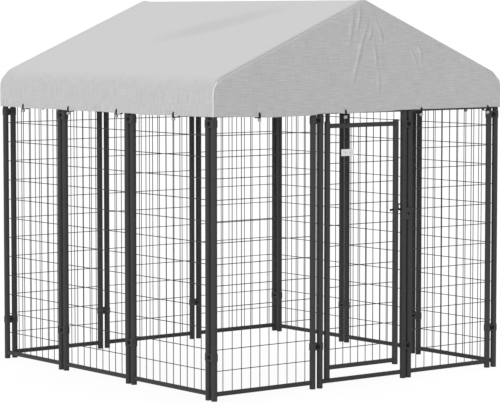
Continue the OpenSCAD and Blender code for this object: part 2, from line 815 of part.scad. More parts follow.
module bungee_balls() {
    color(ball_colour) at_bungees()
        translate([0, strand_pitch / 2 - cord_y, top_rail_z - ball_drop]) difference() {
            sphere(r = ball_r);
            for (s = [-1, 1], t = [-1, 1])
                translate([s * strand_pitch / 2, t * strand_pitch / 2, ball_r - cord_seat])
                    cylinder(r = cord_r + touch, h = ball_r);
        }
}

panel(front, 0);  // panel_front_left
door_surround();
panel(front, 2);  // panel_front_right
panel(right, 0);  // panel_right_front
panel(right, 1);  // panel_right_middle
panel(right, 2);  // panel_right_rear
panel(rear, 0);  // panel_rear_right
panel(rear, 1);  // panel_rear_middle
panel(rear, 2);  // panel_rear_left
panel(left, 0);  // panel_left_rear
panel(left, 1);  // panel_left_middle
panel(left, 2);  // panel_left_front
mesh(front, 0);  // mesh_front_left
mesh(front, 2);  // mesh_front_right
mesh(right, 0);  // mesh_right_front
mesh(right, 1);  // mesh_right_middle
mesh(right, 2);  // mesh_right_rear
mesh(rear, 0);  // mesh_rear_right
mesh(rear, 1);  // mesh_rear_middle
mesh(rear, 2);  // mesh_rear_left
mesh(left, 0);  // mesh_left_rear
mesh(left, 1);  // mesh_left_middle
mesh(left, 2);  // mesh_left_front
post_feet();
post_caps();
clamp_plates_outer();
clamp_plates_inner();
clamp_bolts();
clamp_nuts();
door_frame();
door_mesh();
stile_plugs();
hinge_pin_top();
hinge_pin_bottom();
hinge_saddle();
latch_bolt();
latch_keeper();
keeper_bolt();
keeper_nut();
name_plate();
plate_strip();
plate_screws();
rafter(1, 0);  // rafter_front_left
rafter(0, 0);  // rafter_front_right
rafter(1, 1);  // rafter_rear_left
rafter(0, 1);  // rafter_rear_right
apex_connector(0);  // apex_connector_front
apex_connector(1);  // apex_connector_rear
ridge_tube();
eave_tube(1);  // eave_tube_left
eave_tube(0);  // eave_tube_right
leg_collars();
canopy();
grommets();
bungee_loops();
bungee_balls();
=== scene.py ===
# Looks of an outdoor dog kennel run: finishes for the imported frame, a sewn canopy, welds, cords and light.
# Metres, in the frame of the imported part: +Z up, the door side towards -Y.
import json
import math

import bmesh
import bpy
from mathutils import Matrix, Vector, noise


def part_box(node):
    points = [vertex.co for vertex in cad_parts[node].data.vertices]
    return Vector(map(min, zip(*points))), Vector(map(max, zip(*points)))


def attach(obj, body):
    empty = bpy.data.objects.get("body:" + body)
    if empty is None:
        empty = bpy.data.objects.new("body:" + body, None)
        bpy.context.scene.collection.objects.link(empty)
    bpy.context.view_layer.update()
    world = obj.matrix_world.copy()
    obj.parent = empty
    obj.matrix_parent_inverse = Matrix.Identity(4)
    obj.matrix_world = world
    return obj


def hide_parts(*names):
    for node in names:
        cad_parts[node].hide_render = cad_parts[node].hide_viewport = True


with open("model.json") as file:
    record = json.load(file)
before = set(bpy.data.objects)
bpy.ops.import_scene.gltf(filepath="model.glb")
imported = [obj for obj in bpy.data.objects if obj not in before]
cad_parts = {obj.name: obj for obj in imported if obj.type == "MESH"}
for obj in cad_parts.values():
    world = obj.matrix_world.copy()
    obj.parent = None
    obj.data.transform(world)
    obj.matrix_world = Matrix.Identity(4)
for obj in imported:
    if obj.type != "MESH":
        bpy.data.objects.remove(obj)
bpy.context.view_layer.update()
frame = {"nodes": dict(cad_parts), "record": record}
nodes = frame["nodes"]

# Sizes shared with the part
MM = 0.001
HALF = 897 * MM
SIDE = 2 * HALF
TOP_RAIL_Z = 1333.5 * MM
RAIL_R = 11 * MM
ROOF_PITCH = math.radians(22.7)
CORD_R = 2.3 * MM
WRAP_R = RAIL_R + CORD_R
CORD_OUT = 22.8 * MM
CORD_BEND = 3.5 * MM
CORD_KINK = 2.5 * MM
LOOP_RISE = 9.5 * MM
LOOP_BEND = 5 * MM
STRAND_PITCH = 5 * MM
STRAND_SPREAD = 2.4 * MM
BALL_SEAT = 4 * MM
GROMMET_RISE = 4 * MM
GROMMET_Z = TOP_RAIL_Z + GROMMET_RISE

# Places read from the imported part
canopy_low, canopy_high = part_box("canopy")
CLOTH_HALF = canopy_high.x
HEM_Z = canopy_low.z

# Cut of the canopy
RIDGE_R = 70 * MM
EAVE_R = 100 * MM
RIDGE_Z = canopy_high.z - RIDGE_R
EAVE_X = CLOTH_HALF - EAVE_R
EAVE_Z = RIDGE_Z + (RIDGE_R - EAVE_R - EAVE_X * math.sin(ROOF_PITCH)) / math.cos(ROOF_PITCH)
CLOTH_T = 0.8 * MM
HEM_FOLD = 32 * MM
HEM_STEP = 0.7 * MM
CORNER_R = 6 * MM
RAKE_R = 18 * MM
SEAM_SHARE = 1 - math.cos(math.pi / 4)
CREST = 4.5 * MM
CREST_W = 10 * MM
CREST_BACK = CLOTH_HALF - HALF
HOLE_R = 5.7 * MM
HOLE_SIDES = 12
HOLE_REACH = 22 * MM
PIPING_R = 2.8 * MM
STITCH_PITCH = 6 * MM
STITCH_R = 0.45 * MM
STITCH_ROWS = (5 * MM, 20 * MM)
STITCH_PAST = 0.01
# Steps along a stitch and out from the cloth in millimetres, and its width there
STITCH_SHAPE = ((-2.0, -0.3, 0.5), (-0.9, 0.25, 1.0), (0.9, 0.25, 1.0), (2.0, -0.3, 0.5))


# Camera at the photograph's place
def add_camera():
    data = bpy.data.cameras.new("camera")
    data.sensor_fit = "HORIZONTAL"
    data.sensor_width = 36
    data.lens = 171.927
    data.clip_end = 200
    camera = bpy.data.objects.new("camera", data)
    camera.location = (-7.5666, -9.6795, 1.7943)
    camera.rotation_euler = (math.radians(85.5414), 0, math.radians(-38.0787))
    bpy.context.scene.collection.objects.link(camera)
    bpy.context.scene.camera = camera


# Shader building
class Graph:
    """A node tree with short calls for adding and joining nodes."""

    def __init__(self, owner, shader):
        owner.use_nodes = True
        self.owner = owner
        self.tree = owner.node_tree
        self.shader = self.tree.nodes[shader]

    def add(self, kind, settings=None, **inputs):
        node = self.tree.nodes.new("ShaderNode" + kind)
        for key, value in (settings or {}).items():
            setattr(node, key, value)
        for key, value in inputs.items():
            self.put(node.inputs[key.replace("_", " ")], value)
        return node

    def put(self, socket, value):
        if isinstance(value, bpy.types.NodeSocket):
            self.tree.links.new(value, socket)
        else:
            socket.default_value = value

    def set(self, **inputs):
        for key, value in inputs.items():
            self.put(self.shader.inputs[key.replace("_", " ")], value)

    def object_place(self):
        return self.add("TexCoord").outputs["Object"]

    def uv_place(self):
        return self.add("TexCoord").outputs["UV"]

    def scaled(self, vector, scale):
        return self.add("Mapping", Vector=vector, Scale=scale).outputs["Vector"]

    def noise(self, vector, scale, detail=2.0):
        return self.add("TexNoise", Vector=vector, Scale=scale, Detail=detail).outputs["Fac"]

    def mapped(self, value, low, high, start=0.0, end=1.0):
        node = self.add("MapRange", Value=value, From_Min=start, From_Max=end, To_Min=low, To_Max=high)
        return node.outputs["Result"]

    def math(self, operation, a, b):
        node = self.add("Math", {"operation": operation})
        self.put(node.inputs[0], a)
        self.put(node.inputs[1], b)
        return node.outputs["Value"]

    def mixed(self, factor, a, b):
        node = self.add("Mix", {"data_type": "RGBA"})
        self.put(node.inputs["Factor"], factor)
        self.put(node.inputs[6], a)
        self.put(node.inputs[7], b)
        return node.outputs[2]

    def bump(self, height, distance, strength=1.0):
        node = self.add("Bump", Height=height, Distance=distance, Strength=strength)
        self.put(self.shader.inputs["Normal"], node.outputs["Normal"])

    def edges(self, start, end):
        return self.mapped(self.add("NewGeometry").outputs["Pointiness"], 0.0, 1.0, start, end)


def grey(value, warmth=0.0):
    return (value * (1 + warmth), value, value * (1 - warmth), 1.0)


def finish(name):
    return Graph(bpy.data.materials.new(name), "Principled BSDF")


def powder_coat():
    """Satin charcoal coat with a fine orange peel, mottling and rubbed edges."""
    g = finish("powder_coat")
    place = g.object_place()
    coat = g.mixed(g.noise(place, 7.0, 4.0), grey(0.040), grey(0.052))
    g.set(
        Base_Color=g.mixed(g.mapped(g.edges(0.52, 0.62), 0.0, 0.3), coat, grey(0.09)),
        Roughness=g.mapped(g.noise(place, 45.0, 3.0), 0.5, 0.62),
        Specular_IOR_Level=0.12,
    )
    g.bump(g.noise(place, 900.0, 2.0), 0.12 * MM, 0.5)
    return g.owner


def moulded_plastic():
    """Black plastic with a fine spark-eroded grain."""
    g = finish("moulded_plastic")
    place = g.object_place()
    g.set(
        Base_Color=g.mixed(g.noise(place, 30.0, 3.0), grey(0.012), grey(0.020)),
        Roughness=g.mapped(g.noise(place, 120.0), 0.5, 0.68),
        Specular_IOR_Level=0.25,
    )
    g.bump(g.noise(place, 2200.0, 1.0), 0.08 * MM, 0.6)
    return g.owner


def pale_plastic():
    """Pale grey grommet plastic with a faint moulding grain."""
    g = finish("pale_plastic")
    place = g.object_place()
    g.set(
        Base_Color=g.mixed(g.noise(place, 60.0, 3.0), grey(0.54), grey(0.62)),
        Roughness=g.mapped(g.noise(place, 150.0), 0.42, 0.56),
    )
    g.bump(g.noise(place, 1800.0, 1.0), 0.06 * MM, 0.5)
    return g.owner


def black_steel():
    """Black-plated bolts and nuts, with a painted highlight along their edges."""
    g = finish("black_steel")
    place = g.object_place()
    plating = g.mixed(g.noise(place, 140.0, 4.0), grey(0.005), grey(0.010))
    g.set(
        # Painted highlight: the plating is mixed towards a lighter grey along sharp edges
        Base_Color=g.mixed(g.mapped(g.edges(0.54, 0.66), 0.0, 0.3), plating, grey(0.08)),
        Roughness=g.mapped(g.noise(place, 220.0, 3.0), 0.32, 0.46),
        Specular_IOR_Level=0.05,
    )
    g.bump(g.noise(place, 1200.0, 2.0), 0.05 * MM, 0.5)
    return g.owner


def zinc_plate():
    """Bright zinc with a dull bloom and fine scratches."""
    g = finish("zinc_plate")
    place = g.object_place()
    bloom = g.noise(place, 160.0, 4.0)
    g.set(
        Base_Color=g.mixed(bloom, grey(0.42, -0.01), grey(0.58, -0.02)),
        Metallic=1.0,
        Roughness=g.mapped(bloom, 0.28, 0.46),
    )
    g.bump(g.noise(g.scaled(place, (900.0, 900.0, 90.0)), 1.0, 2.0), 0.05 * MM, 0.5)
    return g.owner


# Length of one band of a wave texture at a scale of one
BAND = 0.314
# Cloth threads: changes per metre along a streak and across it
SLUB_LONG = 13.0
SLUB_FINE = 210.0
# Painted shade of the left slope's shallow dent, darkening the cloth's colour: its middle, the way it runs
# and half its sizes
DENT_SHADE_AT = (-0.29, -0.13, 1.752)
DENT_SHADE_TURN = (0, math.radians(-12.5), math.radians(-58))
DENT_SHADE_SIZE = (0.44, 0.13, 0.13)


def weave_height(g, place, pitch):
    """Plain weave of crossing threads."""
    scale = BAND / pitch
    along = g.add("TexWave", {"bands_direction": "X"}, Vector=place, Scale=scale)
    across = g.add("TexWave", {"bands_direction": "Y"}, Vector=place, Scale=scale)
    return g.math("MAXIMUM", along.outputs["Fac"], across.outputs["Fac"])


def canopy_cloth():
    """Pale grey coated cloth, smooth where it is stretched over the roof and slubby where it hangs, with a
    painted shade on the left slope's shallow dent.
    """
    g = finish("canopy_cloth")
    place = g.uv_place()
    weft = g.noise(g.scaled(place, (SLUB_LONG, SLUB_FINE, 1.0)), 1.0, 2.0)
    warp = g.noise(g.scaled(place, (SLUB_FINE, SLUB_LONG, 1.0)), 1.0, 2.0)
    slub = g.math("ADD", g.math("MULTIPLY", weft, 0.65), g.math("MULTIPLY", warp, 0.35))
    pale = g.mixed(g.noise(place, 2.2, 3.0), grey(0.675), grey(0.695))
    lean = g.add("SeparateXYZ", Vector=g.add("NewGeometry").outputs["Normal"]).outputs["Z"]
    slack = g.mapped(lean, 1.45, 0.35, 0.35, 0.9)
    streak = g.math("MULTIPLY", g.mapped(slub, -0.5, 0.5, 0.3, 0.7), slack)
    cloth = g.mixed(g.math("ADD", streak, 0.5), grey(0.555), pale)
    # Painted shade: the cloth's colour darkens towards grey inside an ellipsoid round the left slope's dent,
    # most at its middle
    dent_shade_place = g.add("Mapping", {"vector_type": "TEXTURE"}, Location=DENT_SHADE_AT, Rotation=DENT_SHADE_TURN, Scale=DENT_SHADE_SIZE)
    g.put(dent_shade_place.inputs["Vector"], g.object_place())
    depth = g.add("TexGradient", {"gradient_type": "SPHERICAL"}, Vector=dent_shade_place.outputs["Vector"]).outputs["Fac"]
    g.set(
        Base_Color=g.mixed(g.mapped(depth, 0.0, 0.75, 0.0, 0.6), cloth, grey(0.555)),
        Roughness=g.mapped(slub, 0.62, 0.78, 0.3, 0.7),
        Specular_IOR_Level=0.2,
        Sheen_Weight=0.05,
        Sheen_Roughness=0.5,
    )
    height = g.math("ADD", g.math("MULTIPLY", slub, 2.4), weave_height(g, place, 1.5 * MM))
    g.bump(g.math("MULTIPLY", height, slack), 0.22 * MM, 0.5)
    return g.owner


def piping_cloth():
    """White bias binding over a cord, with its wrap of threads."""
    g = finish("piping_cloth")
    place = g.uv_place()
    ribs = g.add("TexWave", {"bands_direction": "DIAGONAL"}, Vector=place, Scale=120.0).outputs["Fac"]
    g.set(
        Base_Color=g.mixed(g.noise(place, 60.0, 3.0), grey(0.86), grey(0.93)),
        Roughness=0.6,
    )
    g.bump(ribs, 0.12 * MM, 0.4)
    return g.owner


def stitch_thread():
    """Pale twisted polyester thread."""
    g = finish("stitch_thread")
    place = g.object_place()
    g.set(
        Base_Color=g.mixed(g.noise(place, 300.0), grey(0.55), grey(0.68)),
        Roughness=0.55,
    )
    g.bump(g.noise(place, 2500.0, 1.0), 0.08 * MM, 0.6)
    return g.owner


def elastic_cord():
    """Black braided cover of the bungee cord."""
    g = finish("elastic_cord")
    place = g.uv_place()
    one = g.add("TexWave", {"bands_direction": "DIAGONAL"}, Vector=place, Scale=0.9).outputs["Fac"]
    turned = g.scaled(place, (-1.0, 1.0, 1.0))
    other = g.add("TexWave", {"bands_direction": "DIAGONAL"}, Vector=turned, Scale=0.9).outputs["Fac"]
    braid = g.math("MAXIMUM", one, other)
    g.set(
        Base_Color=g.mixed(braid, grey(0.003), grey(0.008)),
        Roughness=0.75,
        Specular_IOR_Level=0.2,
    )
    g.bump(braid, 0.25 * MM, 0.8)
    return g.owner


def ball_plastic():
    """Grey milky plastic with a parting line round the middle of each ball."""
    g = finish("ball_plastic")
    place = g.object_place()
    height = g.add("SeparateXYZ", Vector=place).outputs["Z"]
    ball_z = 0.5 * (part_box("bungee_balls")[0].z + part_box("bungee_balls")[1].z)
    line = g.mapped(g.math("ABSOLUTE", g.math("SUBTRACT", height, ball_z), 0.0), 1.0, 0.0, 0.0, 0.5 * MM)
    g.set(
        Base_Color=g.mixed(g.noise(place, 90.0, 3.0), grey(0.42), grey(0.50)),
        Roughness=g.mapped(g.noise(place, 200.0), 0.28, 0.4),
        Subsurface_Weight=0.25,
        Subsurface_Radius=(0.004, 0.004, 0.004),
    )
    g.bump(line, 0.3 * MM, 0.8)
    return g.owner


def white_plate():
    """Bare white plate with faint handling marks and a dulled rim."""
    g = finish("white_plate")
    place = g.object_place()
    marks = g.noise(place, 120.0, 5.0)
    paint = g.mixed(marks, grey(0.95), grey(0.98))
    g.set(
        Base_Color=g.mixed(g.mapped(g.edges(0.52, 0.62), 0.0, 0.3), paint, grey(0.7)),
        Roughness=g.mapped(marks, 0.3, 0.5),
        Coat_Weight=1.0,
        Coat_Roughness=0.3,
    )
    g.bump(g.noise(place, 1500.0), 0.04 * MM, 0.4)
    return g.owner


MATERIALS = {
    "frame_paint": powder_coat(),
    "black_plastic": moulded_plastic(),
    "zinc": zinc_plate(),
    "black_steel": black_steel(),
    "pale_plastic": pale_plastic(),
    "canopy_cloth": canopy_cloth(),
    "elastic_cord": elastic_cord(),
    "ball_plastic": ball_plastic(),
    "white_plate": white_plate(),
}


def finish_nodes():
    """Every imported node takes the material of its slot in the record."""
    for part in frame["record"]["subparts"]:
        mesh = nodes[part["node"]].data
        mesh.materials.clear()
        mesh.materials.append(MATERIALS[part["material_slot"]])


# Mesh building
def new_piece(name, mesh_edit, body, material, smooth=True):
    """A new object from a bmesh that rides on a body."""
    mesh = bpy.data.meshes.new(name)
    mesh_edit.to_mesh(mesh)
    mesh_edit.free()
    mesh.materials.append(material)
    for polygon in mesh.polygons:
        polygon.use_smooth = smooth
    piece = bpy.data.objects.new(name, mesh)
    bpy.context.scene.collection.objects.link(piece)
    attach(piece, body)
    return piece


def sweep(edit, points, radii, sides, closed=False):
    """Tube along points, with the way round in turns and the way along in tube widths as its UV."""
    layer = edit.loops.layers.uv.verify()
    count = len(points)
    rings = []
    side_axis = None
    travelled = 0.0
    lengths = []
    for i, point in enumerate(points):
        before = points[i - 1] if i > 0 or closed else point
        after = points[(i + 1) % count] if i < count - 1 or closed else point
        along = (after - before).normalized()
        if side_axis is None:
            side_axis = along.orthogonal().normalized()
        side_axis = (side_axis - along * side_axis.dot(along)).normalized()
        up_axis = along.cross(side_axis)
        radius = radii[i] if isinstance(radii, list) else radii
        ring = []
        for k in range(sides):
            turn = 2 * math.pi * k / sides
            way = math.cos(turn) * side_axis + math.sin(turn) * up_axis
            ring.append(edit.verts.new(point + radius * way))
        if i > 0:
            travelled += (point - points[i - 1]).length
        rings.append(ring)
        lengths.append(travelled)
    spans = count if closed else count - 1
    for i in range(spans):
        j = (i + 1) % count
        for k in range(sides):
            m = (k + 1) % sides
            face = edit.faces.new((rings[i][k], rings[i][m], rings[j][m], rings[j][k]))
            scale = 2 * math.pi * (radii[0] if isinstance(radii, list) else radii)
            marks = ((k, i), (k + 1, i), (k + 1, j), (k, j))
            for loop, (around, at) in zip(face.loops, marks):
                loop[layer].uv = (around / sides, lengths[at] / scale)
    if not closed:
        edit.faces.new(list(reversed(rings[0])))
        edit.faces.new(rings[-1])


def islands(node):
    """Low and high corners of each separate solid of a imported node."""
    edit = bmesh.new()
    edit.from_mesh(nodes[node].data)
    bmesh.ops.remove_doubles(edit, verts=edit.verts, dist=1e-6)
    boxes = []
    seen = set()
    for start in edit.verts:
        if start in seen:
            continue
        seen.add(start)
        stack = [start]
        low = start.co.copy()
        high = start.co.copy()
        while stack:
            vert = stack.pop()
            for k in range(3):
                low[k] = min(low[k], vert.co[k])
                high[k] = max(high[k], vert.co[k])
            for edge in vert.link_edges:
                other = edge.other_vert(vert)
                if other not in seen:
                    seen.add(other)
                    stack.append(other)
        boxes.append((low, high))
    edit.free()
    return boxes


# Welds of the panels and the door
WELD_R = 1.5 * MM
WELD_STEPS = 44
WELD_RISE = 0.3 * MM
WELD_RIPPLES = 11
WELD_RIPPLE = 0.18
WELD_GRAIN = 0.1
# A weld nub's widest radius in wire radii, and its steps in millimetres with its width at each
NUB_SHARE = 1.35
NUB_GRAIN = 0.12
NUB_SHAPE = ((-1.6, 0.62), (-0.7, 1.0), (0.6, 0.86), (1.8, 0.66))
# Least height of an upright tube's box and greatest height of a rail's
UPRIGHT_LEAST = 0.5
RAIL_MOST = 0.1


def weld_ring(edit, post, post_r, towards, z, rail_r):
    """Rippled bead round a rail where it meets a post's side."""
    side = towards.cross(Vector((0, 0, 1)))
    points = []
    radii = []
    for k in range(WELD_STEPS):
        turn = 2 * math.pi * k / WELD_STEPS
        across = (rail_r + WELD_RISE) * math.cos(turn)
        rise = (rail_r + WELD_RISE) * math.sin(turn)
        out = math.sqrt((post_r + WELD_RISE) ** 2 - across ** 2)
        points.append(post + towards * out + side * across + Vector((0, 0, z + rise)))
        grain = WELD_GRAIN * noise.noise(points[-1] * 300)
        radii.append(WELD_R * (1 + WELD_RIPPLE * math.sin(WELD_RIPPLES * turn) + grain))
    sweep(edit, points, radii, 6, closed=True)


def frame_welds(edit, node):
    """Beads at the four corners of a welded frame."""
    boxes = islands(node)
    uprights = [(low, high) for low, high in boxes if high.z - low.z > UPRIGHT_LEAST]
    rails = [(low, high) for low, high in boxes if high.z - low.z < RAIL_MOST]
    for low, high in uprights:
        post = Vector(((low.x + high.x) / 2, (low.y + high.y) / 2, 0))
        for other_low, other_high in uprights:
            towards = Vector((other_low.x + other_high.x, other_low.y + other_high.y, 0)) / 2 - post
            if towards.length < (high.x - low.x):
                continue
            for rail_low, rail_high in rails:
                z = (rail_low.z + rail_high.z) / 2
                rail_r = (rail_high.z - rail_low.z) / 2
                weld_ring(edit, post, (high.x - low.x) / 2, towards.normalized(), z, rail_r)


def wire_nub(edit, centre, along, wire_r):
    """Small weld nub where a wire ends on a tube."""
    points = []
    radii = []
    for step, width in NUB_SHAPE:
        points.append(centre + along * step * MM)
        radii.append(NUB_SHARE * wire_r * width * (1 + NUB_GRAIN * noise.noise(points[-1] * 500)))
    sweep(edit, points, radii, 7)


def mesh_nubs(edit, node):
    """Nubs at both ends of every wire of a mesh."""
    for low, high in islands(node):
        size = high - low
        axis = max(range(3), key=lambda k: size[k])
        along = Vector((0, 0, 0))
        along[axis] = 1.0
        middle = (low + high) / 2
        for end, way in ((low, 1), (high, -1)):
            point = middle.copy()
            point[axis] = end[axis]
            wire_nub(edit, point, along * way, min(size) / 2)


def add_welds():
    """One piece of beads and nubs for the fixed panels and one for the door."""
    door_parts = ("door_frame", "door_mesh")
    for name, body, door in (("welds_panels", "kennel", False), ("welds_door", "door", True)):
        edit = bmesh.new()
        for node in sorted(nodes):
            if (node in door_parts) != door:
                continue
            if node.startswith("panel_") or node in ("door_surround", "door_frame"):
                frame_welds(edit, node)
            if node.startswith("mesh_") or node == "door_mesh":
                mesh_nubs(edit, node)
        new_piece(name, edit, body, MATERIALS["frame_paint"])


# Ball bungees
def ball_places():
    """Each ball's middle and its way out from the run."""
    places = []
    for low, high in islands("bungee_balls"):
        middle = (low + high) / 2
        if abs(middle.x) > abs(middle.y):
            out = Vector((math.copysign(1, middle.x), 0, 0))
        else:
            out = Vector((0, math.copysign(1, middle.y), 0))
        places.append((middle, out))
    return places


BALLS = ball_places()


def arc(centre_out, centre_z, radius, start, end, steps):
    """Points of a turn in the plane across the rail, by angle from straight out."""
    points = []
    for i in range(steps + 1):
        angle = math.radians(start + (end - start) * i / steps)
        points.append((centre_out + radius * math.cos(angle), centre_z + radius * math.sin(angle)))
    return points


def cord_path(ball_z):
    """Route of a cord: up from the ball, through the grommet, over the rail and back under it to the ball."""
    inner = CORD_OUT - STRAND_PITCH
    shoulder = WRAP_R - GROMMET_RISE - CORD_KINK
    low_z = ball_z + LOOP_RISE
    path = [(CORD_OUT, ball_z + BALL_SEAT)]
    path += arc(CORD_OUT - CORD_BEND, GROMMET_Z - CORD_BEND, CORD_BEND, 0, 90, 4)
    path += arc(WRAP_R + CORD_KINK, GROMMET_Z + CORD_KINK, CORD_KINK, 270, 180, 4)
    path += arc(WRAP_R - shoulder, GROMMET_Z + CORD_KINK, shoulder, 0, 90, 4)
    path += arc(0, TOP_RAIL_Z, WRAP_R, 90, 180, 8)
    path += arc(LOOP_BEND - WRAP_R, low_z + LOOP_BEND, LOOP_BEND, 180, 270, 5)
    path += arc(inner - CORD_BEND, low_z - CORD_BEND, CORD_BEND, 90, 0, 4)
    path.append((inner, ball_z + BALL_SEAT))
    return path


def add_bungees():
    """Doubled cords through the grommets."""
    edit = bmesh.new()
    for middle, out in BALLS:
        base = Vector((middle.x, middle.y, 0)) - out * middle.dot(out) + out * HALF
        aside = Vector((0, 0, 1)).cross(out)
        for way in (-1, 1):
            points = []
            for along, z in cord_path(middle.z):
                spread = STRAND_SPREAD * smooth((GROMMET_Z - z) / (GROMMET_Z - middle.z))
                offset = aside * way * (STRAND_PITCH + spread) / 2
                points.append(base + out * along + offset + Vector((0, 0, z)))
            sweep(edit, points, CORD_R, 10)
    piece = new_piece("bungee_cords", edit, "kennel", MATERIALS["elastic_cord"])
    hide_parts("bungee_loops")


# Canopy
FRONT, RIGHT, REAR, LEFT = range(4)
# Height of the hem against its mean along each side, as distance from the side's own corner and rise
HEM_WAVE = {
    FRONT: [(0, -1), (60, -2), (150, -5), (310, -11), (550, -9), (640, -1), (720, 0), (785, -5),
            (930, -1), (1020, 0), (1150, 5), (1794, 5)],
    RIGHT: [(0, 3), (300, -2), (620, -7), (900, -3), (1250, -7), (1794, -4)],
    REAR: [(0, -4), (420, -9), (800, -3), (1150, -8), (1500, -3), (1794, -4)],
    LEFT: [(0, -4), (300, -7), (480, -4), (650, -7), (900, -4), (1020, -6), (1130, -4), (1290, -8),
           (1400, -5), (1600, -3), (1794, -1)],
}
# Folds of the front gable: height of the crest and half its width, then its line from top to bottom
GABLE_FOLDS = [
    (6.6, 8, [(-29, 1834), (-31, 1791), (-40, 1728)]),
    (4.8, 10, [(-69, 1805), (-82, 1738), (-94, 1652)]),
    (6.3, 7, [(77, 1767), (103, 1708), (116, 1670)]),
    (6.9, 9, [(20, 1752), (-18, 1661), (-43, 1574), (-72, 1469)]),
    (4.8, 7, [(52, 1728), (26, 1670)]),
    (4.8, 9, [(68, 1650), (81, 1544)]),
    (6.0, 7, [(352, 1648), (376, 1574)]),
    (4.5, 8, [(306, 1619), (346, 1545)]),
    (3.9, 9, [(91, 1524), (98, 1417)]),
    (3.3, 8, [(588, 1442), (609, 1407)]),
]
# Shallow folds of the roof slopes: depth, half width and line by distance from the ridge and along the run
SLOPE_FOLDS = [
    (6.0, 90, [(503, 227), (380, -65), (190, -325), (95, -520)]),
    (4.0, 90, [(690, 120), (560, -180), (420, -420)]),
]
# A fold's trough against its crest, its place and the fold's reach in half widths
TROUGH = 0.45
TROUGH_AT = 1.7
FOLD_REACH = 4
FOLD_END = 0.06
SLOPE_SAG = 5 * MM
SLOPE_WAVE = 1.6 * MM
GABLE_SLACK = 2.0 * MM
# Waves of the skirt: their height, and the height above the hem where they start to fade and end
SKIRT_WAVE = 2.2 * MM
WAVE_FULL = 0.03
WAVE_FADE = 0.09
# Pull marks round a grommet: height, rays, rise and fade from the middle, and reach
PULL = 1.5 * MM
PULL_RAYS = 5
PULL_RISE = 0.03
PULL_FADE = 0.045
PULL_REACH = 0.16
# The cloth is flat under a grommet and takes up its waves over some way round it
GROMMET_FLAT = 9 * MM
GROMMET_EASE = 25 * MM
# Way from a seam over which the gables and the skirts take up their folds
GABLE_EASE = 0.02
SKIRT_EASE = 0.03


def smooth(t):
    t = min(max(t, 0.0), 1.0)
    return t * t * (3 - 2 * t)


def along_curve(points, u):
    """Smoothly joined value between control points given in millimetres."""
    for (u0, v0), (u1, v1) in zip(points, points[1:]):
        if u <= u1 * MM:
            return (v0 + (v1 - v0) * smooth((u - u0 * MM) / ((u1 - u0) * MM))) * MM
    return points[-1][1] * MM


def fold_height(folds, a, b):
    """Sum of the folds at a place: a crest along each line, with a shallow trough on one side."""
    total = 0.0
    here = Vector((a, b))
    for crest, width, line in folds:
        best = None
        count = len(line) - 1
        for i in range(count):
            start = Vector(line[i]) * MM
            way = Vector(line[i + 1]) * MM - start
            t = min(max((here - start).dot(way) / way.length_squared, 0.0), 1.0)
            gap = here - start - way * t
            if best is None or gap.length < best[0]:
                signed = gap.length * math.copysign(1, way.x * gap.y - way.y * gap.x)
                best = (gap.length, signed, (i + t) / count)
        if best[0] > FOLD_REACH * width * MM:
            continue
        fade = math.sin(math.pi * min(max(best[2], FOLD_END), 1 - FOLD_END)) ** 0.6
        near = best[1] / (width * MM)
        total += crest * MM * fade * (math.exp(-near ** 2) - TROUGH * math.exp(-(near - TROUGH_AT) ** 2))
    return total


def place_on_side(face, u):
    """Point on the ground under the skirt and the way out, for a distance from the side's corner."""
    run = u - HALF
    spots = {
        FRONT: (Vector((run, -1, 0)), Vector((0, -1, 0))),
        RIGHT: (Vector((1, run, 0)), Vector((1, 0, 0))),
        REAR: (Vector((-run, 1, 0)), Vector((0, 1, 0))),
        LEFT: (Vector((-1, -run, 0)), Vector((-1, 0, 0))),
    }
    spot, out = spots[face]
    return spot - out * spot.dot(out), out


def side_distance(face, x, y):
    return {FRONT: x, RIGHT: y, REAR: -x, LEFT: -y}[face] + HALF


def grommet_offsets(face, u, z):
    """Distances aside and up from each grommet of a side."""
    way = place_on_side(face, 0)[1]
    for middle, out in BALLS:
        if out.dot(way) > 0.5:
            yield u - side_distance(face, middle.x, middle.y), z - GROMMET_Z


def pull_mark(aside, up):
    """Ripple round a grommet, where the bungee pulls the skirt."""
    reach = math.hypot(aside, up)
    strength = PULL * min(reach / PULL_RISE, 1) * math.exp(-reach / PULL_FADE)
    return strength * math.cos(PULL_RAYS * math.atan2(up, aside))


def skirt_offset(face, u, z):
    """How far the skirt stands out from its plane: slow waves, pull marks and the doubled hem."""
    hem = HEM_STEP * (1 - smooth((z - HEM_Z - HEM_FOLD) / (2 * MM)))
    fade = 1 - smooth((z - HEM_Z - WAVE_FULL) / WAVE_FADE)
    if fade == 0.0:
        return hem
    spot, out = place_on_side(face, u)
    wave = SKIRT_WAVE * noise.noise((spot + out * 0.9) * 4.5 + Vector((0, 0, z * 2)))
    free = 1.0
    for aside, up in grommet_offsets(face, u, z):
        reach = math.hypot(aside, up)
        if reach < PULL_REACH:
            wave += pull_mark(aside, up)
            free = min(free, smooth((reach - GROMMET_FLAT) / GROMMET_EASE))
    return fade * free * wave + hem


def hem_shift(face, u, z):
    """Rise or fall of the skirt's points, all of it at the hem and none at the eave."""
    return along_curve(HEM_WAVE[face], u) * (1 - smooth((z - HEM_Z) / (EAVE_Z - HEM_Z)))


def steps_between(start, end, size):
    count = max(1, math.ceil(abs(end - start) / size))
    return [start + (end - start) * i / count for i in range(1, count + 1)]


# Heights above the hem, in millimetres, where the cloth has a row of points
HEM_ROWS = (0, 1.5, 8, 16, 22, 24, 26)
SKIRT_ROWS = HEM_ROWS + (34, 44, 54, 66, 78)
# Points of the turns over the eave and the ridge, and the step down each half of a slope
EAVE_STEPS = 16
RIDGE_STEPS = 6
LOWER_STEP = 9 * MM
UPPER_STEP = 4.5 * MM
# Greatest upward part of the way out where the cloth counts as upright
UPRIGHT = 0.05


